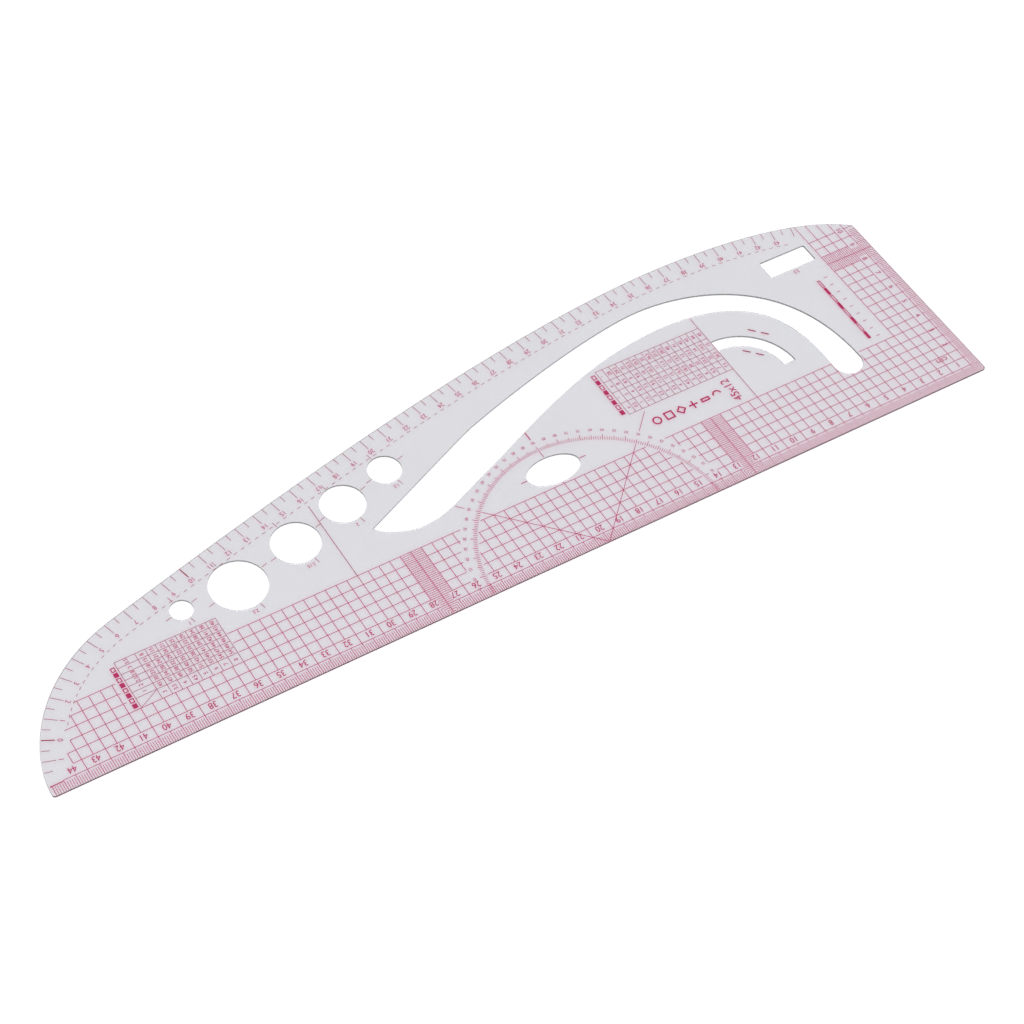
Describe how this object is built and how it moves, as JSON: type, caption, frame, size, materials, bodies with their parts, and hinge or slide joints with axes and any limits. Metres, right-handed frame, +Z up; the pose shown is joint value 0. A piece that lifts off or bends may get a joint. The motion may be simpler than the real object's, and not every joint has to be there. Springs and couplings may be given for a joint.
{
  "type": "pattern drafting ruler with french curve slot",
  "caption": "Clear flat pattern ruler with a straight edge, a long curved edge, a french-curve slot, round, oval and slotted templates and crimson printed scales.",
  "frame": {"origin": "middle of the sheet's box, on its underside", "axes": "+X along the straight edge towards its zero corner, +Y from the straight edge to the curved edge, +Z up out of the printed face"},
  "size_m": [0.4514, 0.12, 0.001],
  "materials": {
    "clear_plastic": "gloss",
    "crimson_ink": "satin"
  },
  "bodies": {
    "root": {"clear_sheet": "clear_plastic", "straight_edge_mm_ticks": "crimson_ink", "straight_edge_cm_ticks": "crimson_ink", "straight_edge_rule_line": "crimson_ink", "straight_edge_numerals": "crimson_ink", "straight_edge_end_mark": "crimson_ink", "end_edge_mm_ticks": "crimson_ink", "end_edge_cm_ticks": "crimson_ink", "end_edge_rule_line": "crimson_ink", "end_edge_numerals": "crimson_ink", "unit_label": "crimson_ink", "curved_edge_half_ticks": "crimson_ink", "curved_edge_cm_ticks": "crimson_ink", "curved_edge_bold_ticks": "crimson_ink", "curved_edge_numerals": "crimson_ink", "curved_seam_dashes": "crimson_ink", "seam_grid": "crimson_ink", "end_grid": "crimson_ink", "crest_side_comb": "crimson_ink", "heel_side_comb": "crimson_ink", "end_edge_comb": "crimson_ink", "crest_reference_line": "crimson_ink", "heel_reference_line": "crimson_ink", "protractor_ticks": "crimson_ink", "protractor_numerals": "crimson_ink", "protractor_rays": "crimson_ink", "round_template_crosses": "crimson_ink", "round_template_sizes": "crimson_ink", "oval_template_marks": "crimson_ink", "window_size_label": "crimson_ink", "ring_slot_marks": "crimson_ink", "slope_table_frame": "crimson_ink", "slope_table_numerals": "crimson_ink", "slope_table_heading": "crimson_ink", "radius_table_frame": "crimson_ink", "radius_table_numerals": "crimson_ink", "radius_table_heading": "crimson_ink", "title_scale_bar": "crimson_ink", "overall_size_label": "crimson_ink", "shape_key_symbols": "crimson_ink"}
  },
  "joints": []
}
